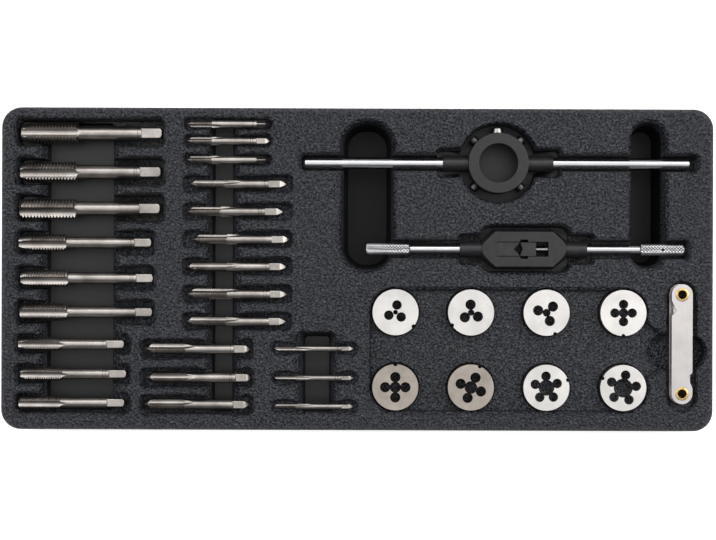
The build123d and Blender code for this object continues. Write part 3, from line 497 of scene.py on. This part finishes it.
# ---------------------------------------------------------------- handles of the tap wrench
WRENCH_AXIS = (11.2, 21.8)   # in Y and Z
LEFT_GRIP_X, LEFT_ROD_X = (4.4, 28.9), (28.9, 61.9)
RIGHT_GRIP_X, RIGHT_ROD_X, JAW_SCREW_X = (154.3, 178.9), (119.4, 154.3), (96.3, 119.4)
CROSS_HOLE_X, CROSS_HOLE_Z, CROSS_HOLE_R = 166.9, (15, 29), 0.8
ROD_R, GRIP_R, GRIP_BEVEL = 2.7, 3.45, 0.5
KNURLS, KNURL_LENGTH, KNURL_DEPTH = 15, 1.7, 0.42
KNURL_FADE = 0.3             # length in which the knurl reaches its full depth
KNURL_SHADE_FROM = 0.55            # share of the depth from which a groove is painted dark, as shade
JAW_SCREW_R, JAW_SCREW_DEPTH, JAW_SCREW_PITCH, JAW_SCREW_TIP = 2.0, 0.5, 1.0, 0.4
GRIP_STEP, JAW_SCREW_STEP, ROD_STEPS, GRIP_AROUND = 0.21, 0.125, 12, 126


def wrench_handle(node, grip_x, rod_x, screw_x=None):
    """A handle turned from bar: a knurled grip, its grooves painted dark as shade, a plain rod, and on one of
    them the adjusting screw.
    """
    low, high = (Vector(v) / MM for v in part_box(node))
    parts = [np.arange(grip_x[0], grip_x[1], GRIP_STEP), np.linspace(rod_x[0], rod_x[1], ROD_STEPS)]
    if screw_x:
        parts.append(np.arange(screw_x[0], screw_x[1], JAW_SCREW_STEP))
    marks = [v + o for v in (*grip_x, *rod_x, *(screw_x or ())) for o in (-0.01, 0.01, -0.5, 0.5)]
    xs = np.unique(np.round(np.clip(np.concatenate(parts + [marks]), low.x, high.x), 3))
    x, a = np.meshgrid(xs, np.arange(GRIP_AROUND) * 2 * pi / GRIP_AROUND, indexing="ij")
    radius = np.full(x.shape, ROD_R)
    if screw_x:
        thread = np.abs((x / JAW_SCREW_PITCH + a / (2 * pi)) % 1.0 - 0.5) * 2
        in_screw = (x < screw_x[1]) & (x < rod_x[0])
        radius = np.where(in_screw, JAW_SCREW_R - JAW_SCREW_DEPTH * (1 - thread), radius)
        tip = JAW_SCREW_R - JAW_SCREW_DEPTH + x - screw_x[0]
        radius = np.where(in_screw & (x < screw_x[0] + JAW_SCREW_TIP), np.minimum(radius, tip), radius)
    turn = KNURLS * a / (2 * pi)
    grooves = [1 - 2 * np.abs((turn + s * x / KNURL_LENGTH) % 1.0 - 0.5) for s in (-1, 1)]
    edge = np.minimum(x - grip_x[0], grip_x[1] - x)
    deep = KNURL_DEPTH * np.maximum(1 - grooves[0], 1 - grooves[1])
    deep = deep * np.clip((edge - GRIP_BEVEL) / KNURL_FADE, 0, 1)
    knurl = np.minimum(GRIP_R - deep, GRIP_R - GRIP_BEVEL + np.clip(edge, 0, None))
    radius = np.where(edge >= -0.001, knurl, radius)
    # painted shade: the deeper part of each knurl groove gets a dark material
    in_groove = (edge > GRIP_BEVEL) & (radius < GRIP_R - KNURL_SHADE_FROM * KNURL_DEPTH)
    mesh = bar_mesh(node + "_turned", xs, radius, *WRENCH_AXIS, in_groove[:-1].astype(int).reshape(-1).tolist())
    return add_piece(node + "_turned", dressed(mesh, [HANDLE, PAINTED_KNURL_SHADE], 24), node)


# ---------------------------------------------------------------- thread gauge
GAUGE_X, GAUGE_TOP_Y, GAUGE_LOW_Y = 175.9, -13.2, -66.8
EYELET_OUTER, EYELET_TUBE, EYELET_BORE = 3.65, 2.8, 2.3
# The rolled rim from the bore outwards: radius, and depth below the eyelet's face.
EYELET_RIM = ((EYELET_BORE, 0.40), (2.34, 0.15), (2.46, 0.03), (2.60, 0.0), (2.76, 0.03), (2.90, 0.14),
              (2.94, 0.24), (3.30, 0.26), (3.54, 0.33), (EYELET_OUTER, 0.46), (EYELET_OUTER, 0.5),
              (EYELET_TUBE, 0.5))
BRASS_R = 2.93               # the eyelet shows brass up to here
EYELET_AROUND = 72
UPPER_COLLAR_Z, LOWER_COLLAR_Z = (26.2, 28.3), (28.4, 31.2)
LEAF_ROOT_R, LEAF_TIP_R, LEAF_TIP_AT, LEAF_HOLE_R = 4.8, 3.5, 45.0, 2.85
LEAF_THICKNESS, LEAF_STEP = 0.6, 0.7
TEETH_START, TEETH_END = 4.0, 3.0        # plain edge before the first tooth and after the last
TOOTH_DEPTH = 0.55           # share of the pitch
FIRST_LEAF_Z = 27.7          # one step below the lowest swinging leaf
SWINGING_PITCHES = (0.5, 0.75, 1.0, 1.5)
STOWED_LEAVES = ((26.3, 0.8), (27.0, 1.25), (27.7, 1.75))            # underside and pitch


def eyelet(node, y, collar):
    """A rolled eyelet: brass round its hole, a pale flange outside that."""
    low, high = (v[2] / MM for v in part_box(node))
    top = [(r, high - down) for r, down in EYELET_RIM]
    foot = [(r, low + down) for r, down in reversed(EYELET_RIM)]
    band = [(EYELET_TUBE, collar[1]), (EYELET_OUTER, collar[1]),
            (EYELET_OUTER, collar[0]), (EYELET_TUBE, collar[0])]
    profile = np.array(top + band + foot)
    count, around = len(profile), EYELET_AROUND
    angles = np.arange(around) * 2 * pi / around
    points = [(GAUGE_X + r * cos(a), y + r * sin(a), z) for a in angles for r, z in profile]
    faces, slots = [], []
    for j in range(around):
        k = (j + 1) % around
        for i in range(count):
            n = (i + 1) % count
            faces.append((j * count + i, j * count + n, k * count + n, k * count + i))
            slots.append(0 if (profile[i][0] + profile[n][0]) / 2 < BRASS_R else 1)
    mesh = bpy.data.meshes.new(node + "_rolled")
    mesh.from_pydata([Vector(p) * MM for p in points], [], faces)
    mesh.polygons.foreach_set("material_index", slots)
    work = bmesh.new()
    work.from_mesh(mesh)
    bmesh.ops.recalc_face_normals(work, faces=work.faces)
    work.to_mesh(mesh)
    work.free()
    add_piece(node + "_rolled", dressed(mesh, [BRASS, COVER], 40), node)


def arc(middle_y, radius, start, finish, count):
    """Points on an arc about a place on a leaf's middle line."""
    return [Vector((radius * cos(t), middle_y + radius * sin(t))) for t in np.linspace(start, finish, count)]


def leaf_outline(pitch):
    """A leaf's outline about its pivot, pointing along +Y, with thread teeth of this pitch down both sides."""
    lean = (LEAF_ROOT_R - LEAF_TIP_R) / LEAF_TIP_AT
    start = Vector((LEAF_ROOT_R, LEAF_ROOT_R * lean))
    finish = Vector((LEAF_TIP_R, LEAF_TIP_AT + LEAF_TIP_R * lean))
    along = (finish - start).normalized()
    inward = Vector((-along.y, along.x))
    side, at = [start], TEETH_START
    while at < (finish - start).length - TEETH_END:
        side += [start + along * at, start + along * (at + pitch / 2) + inward * TOOTH_DEPTH * pitch]
        at += pitch
    side += [start + along * at, finish]
    mirrored = [Vector((-p.x, p.y)) for p in reversed(side)]
    tip = arc(LEAF_TIP_AT, LEAF_TIP_R, 0.1, pi - 0.1, 22)
    root = arc(0, LEAF_ROOT_R, pi + 0.05, 2 * pi - 0.05, 30)
    return side + tip + mirrored + root


def leaves(node, name, pivot_y, towards, levels):
    """Toothed leaves, one for each (underside, pitch)."""
    work = bmesh.new()
    for z, pitch in levels:
        edges = []
        for loop in (leaf_outline(pitch), arc(0, LEAF_HOLE_R, 0, 2 * pi, 41)[:-1]):
            ring = [work.verts.new(((GAUGE_X + p.x * towards) * MM, (pivot_y + p.y * towards) * MM, z * MM))
                    for p in loop]
            edges += [work.edges.new((ring[i], ring[(i + 1) % len(ring)])) for i in range(len(ring))]
        filled = bmesh.ops.triangle_fill(work, use_beauty=True, use_dissolve=False, edges=edges)
        flat = [f for f in filled["geom"] if isinstance(f, bmesh.types.BMFace)]
        raised = bmesh.ops.extrude_face_region(work, geom=flat, use_keep_orig=True)
        moved = [v for v in raised["geom"] if isinstance(v, bmesh.types.BMVert)]
        bmesh.ops.translate(work, verts=moved, vec=(0, 0, LEAF_THICKNESS * MM))
    bmesh.ops.recalc_face_normals(work, faces=work.faces)
    mesh = bpy.data.meshes.new(name)
    work.to_mesh(mesh)
    work.free()
    add_piece(name, dressed(mesh, [LEAF]), node)


# ---------------------------------------------------------------- dies and die stock
DIE_R, DIE_MIDDLE_Z = 12.5, 23.3
RIM_WIDTH, FACE_RISE = 1.6, 4.3          # a rim edge is this near the outside, and this far from the mid height
DULL_DIES = ("m7", "m8")
STOCK = (76.8, 58.2)
STOCK_RING_R, SCREW_NECK, SCREW_HEAD = 16.5, 0.4, 2.6
SCREW_END = STOCK_RING_R + SCREW_NECK + SCREW_HEAD   # from the middle of the ring
SCREW_Z = 17.95
ADJUSTER_ANGLE = 90
SCREW_ANGLES = {"adjusting_screw": ADJUSTER_ANGLE, "retaining_screw_1": 45, "retaining_screw_2": 135,
                "retaining_screw_3": 225, "retaining_screw_4": 315}
SLOT_SIZE = (2.0, 9.0, 0.9)              # half of the first is the slot's depth; then its length and width


def rim_of(node):
    """Tells whether a point in mm lies at the outer rim of a die's upper or lower face."""
    low, high = (Vector(v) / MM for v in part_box(node))
    middle_x, middle_y = (low.x + high.x) / 2, (low.y + high.y) / 2

    def at_rim(p):
        outside = (p.x - middle_x) ** 2 + (p.y - middle_y) ** 2 > (DIE_R - RIM_WIDTH) ** 2
        return outside and abs(p.z - DIE_MIDDLE_Z) > FACE_RISE

    return at_rim


def slotted_screw(name, angle):
    """A screw of the die stock with a screwdriver slot across the end of its head."""
    screw = refined("die_stock_" + name, f"die_stock_{name}_slotted",
                    BRIGHT_SCREW if angle == ADJUSTER_ANGLE else SCREW, 0.3)
    out = Vector((cos(radians(angle)), sin(radians(angle)), 0))
    side = Vector((-out.y, out.x, 0))
    end = Vector((*STOCK, SCREW_Z)) + out * SCREW_END
    cut_from(screw, *box_corners(end, out, side, (0, 0, 1), SLOT_SIZE))


# ---------------------------------------------------------------- everything in its place
for name in TAPS:
    for kind in TAP_LEADS:
        tap_mesh(name, kind)

refined("tray", "tray_moulding", PLASTIC)

for name in reversed(TAPS):
    node, dull = f"die_{name}", name in DULL_DIES
    refined(node, node + "_edged", DARK_DIE if dull else DIE,
            0.55, chosen=rim_of(node))

refined("die_stock_body", "die_stock_ring", BLACK, 0.4, segments=3)
refined("tap_wrench_body", "tap_wrench_milled_body", BLACK, 0.3)
refined("tap_wrench_fixed_jaw", "tap_wrench_fixed_jaw_edged", JAW, 0.2)
refined("tap_wrench_sliding_jaw", "tap_wrench_sliding_jaw_edged", JAW, 0.2)
refined("die_stock_handle_left", "die_stock_left_bar", HANDLE, 0.25)
refined("die_stock_handle_right", "die_stock_right_bar", HANDLE, 0.25)
for name, angle in SCREW_ANGLES.items():
    slotted_screw(name, angle)

wrench_handle("tap_wrench_fixed_handle", LEFT_GRIP_X, LEFT_ROD_X)
bar = wrench_handle("tap_wrench_adjusting_handle", RIGHT_GRIP_X, RIGHT_ROD_X, JAW_SCREW_X)
cut_from(bar, *round_corners(CROSS_HOLE_X, WRENCH_AXIS[0], CROSS_HOLE_Z, CROSS_HOLE_R))

refined("gauge_bottom_cover", "gauge_lower_plate", COVER, 0.2)
refined("gauge_top_cover", "gauge_upper_plate", COVER, 0.2)
eyelet("gauge_upper_eyelet", GAUGE_TOP_Y, UPPER_COLLAR_Z)
eyelet("gauge_lower_eyelet", GAUGE_LOW_Y, LOWER_COLLAR_Z)
leaves("gauge_lower_leaves", "gauge_stowed_leaves", GAUGE_LOW_Y, 1, STOWED_LEAVES)
for number, pitch in enumerate(SWINGING_PITCHES, 1):
    node = f"gauge_leaf_{number}"
    leaves(node, node + "_toothed", GAUGE_TOP_Y, -1, ((FIRST_LEAF_Z + LEAF_STEP * number, pitch),))


# ---------------------------------------------------------------- floor, light and camera
FLOOR_HALF, FLOOR_Z = 4, -0.0004         # metres
FLOOR_LIFT = 0.6             # what the floor gives out towards the camera alone
SKY_STRENGTH = 0.24
AIM = (0, 0, 0)
# Name, place and size in metres, and power.
LAMPS = (
    ("left_softbox", (-0.85, 0.25, 0.85), (0.8, 0.8), 5),
    ("right_softbox", (0.85, 0.25, 0.85), (0.8, 0.8), 8),
    ("top_softbox", (0.0, 0.75, 1.15), (1.2, 0.6), 6),
    ("overhead_softbox", (0.0, 0.0, 1.5), (1.6, 1.2), 6.5),
)
CAMERA_X, CAMERA_Y, CAMERA_HEIGHT = 0.0004, -0.0004, 0.828           # metres
CAMERA_ROLL = 0.2            # degrees
SENSOR_WIDTH = 36.0          # mm
VIEW_WIDTH = 0.3893          # what the picture is wide, at the tray's top face, in metres
TRAY_TOP = 0.028


def floor_and_world():
    """A white floor that looks brighter to the camera than it lights the tray, under an even sky."""
    sides = ((-1, -1), (1, -1), (1, 1), (-1, 1))
    mesh = bpy.data.meshes.new("floor")
    mesh.from_pydata([(a * FLOOR_HALF, b * FLOOR_HALF, FLOOR_Z) for a, b in sides], [], [(0, 1, 2, 3)])
    floor = bpy.data.objects.new("floor", mesh)
    bpy.context.scene.collection.objects.link(floor)
    material, tree, shader = new_material("white_floor", (0.96, 0.96, 0.96), 0.9)
    shade = texture(tree, "ShaderNodeTexNoise", 3, Detail=2.0)
    color = ramp(tree, shade.outputs["Fac"], ((0.3, (0.95, 0.95, 0.95)), (0.7, (0.97, 0.97, 0.97))))
    tree.links.new(color.outputs["Color"], shader.inputs["Base Color"])
    seen = tree.nodes.new("ShaderNodeLightPath")
    lift = tree.nodes.new("ShaderNodeMath")
    lift.operation = "MULTIPLY"
    lift.inputs[1].default_value = FLOOR_LIFT
    tree.links.new(seen.outputs["Is Camera Ray"], lift.inputs[0])
    tree.links.new(lift.outputs["Value"], shader.inputs["Emission Strength"])
    shader.inputs["Emission Color"].default_value = (1, 1, 1, 1)
    mesh.materials.append(material)
    world = bpy.data.worlds.new("studio")
    world.use_nodes = True
    background = world.node_tree.nodes["Background"]
    background.inputs["Color"].default_value = (0.97, 0.98, 1.0, 1)
    background.inputs["Strength"].default_value = SKY_STRENGTH
    bpy.context.scene.world = world


def area_lamp(name, place, size, energy):
    """A rectangular softbox that faces the tray."""
    lamp = bpy.data.lights.new(name, "AREA")
    lamp.shape = "RECTANGLE"
    lamp.size, lamp.size_y = size
    lamp.energy = energy
    piece = bpy.data.objects.new(name, lamp)
    piece.location = place
    piece.rotation_euler = (Vector(AIM) - Vector(place)).to_track_quat("-Z", "Y").to_euler()
    bpy.context.scene.collection.objects.link(piece)


def camera():
    """The camera looks straight down on the tray."""
    data = bpy.data.cameras.new("camera")
    data.sensor_width = SENSOR_WIDTH
    data.lens = SENSOR_WIDTH * (CAMERA_HEIGHT - TRAY_TOP) / VIEW_WIDTH
    piece = bpy.data.objects.new("camera", data)
    piece.location = (CAMERA_X, CAMERA_Y, CAMERA_HEIGHT)
    piece.rotation_euler = (0, 0, radians(CAMERA_ROLL))
    bpy.context.scene.collection.objects.link(piece)
    bpy.context.scene.camera = piece


floor_and_world()
for lamp in LAMPS:
    area_lamp(*lamp)
camera()
bpy.context.scene.view_settings.view_transform = "Standard"
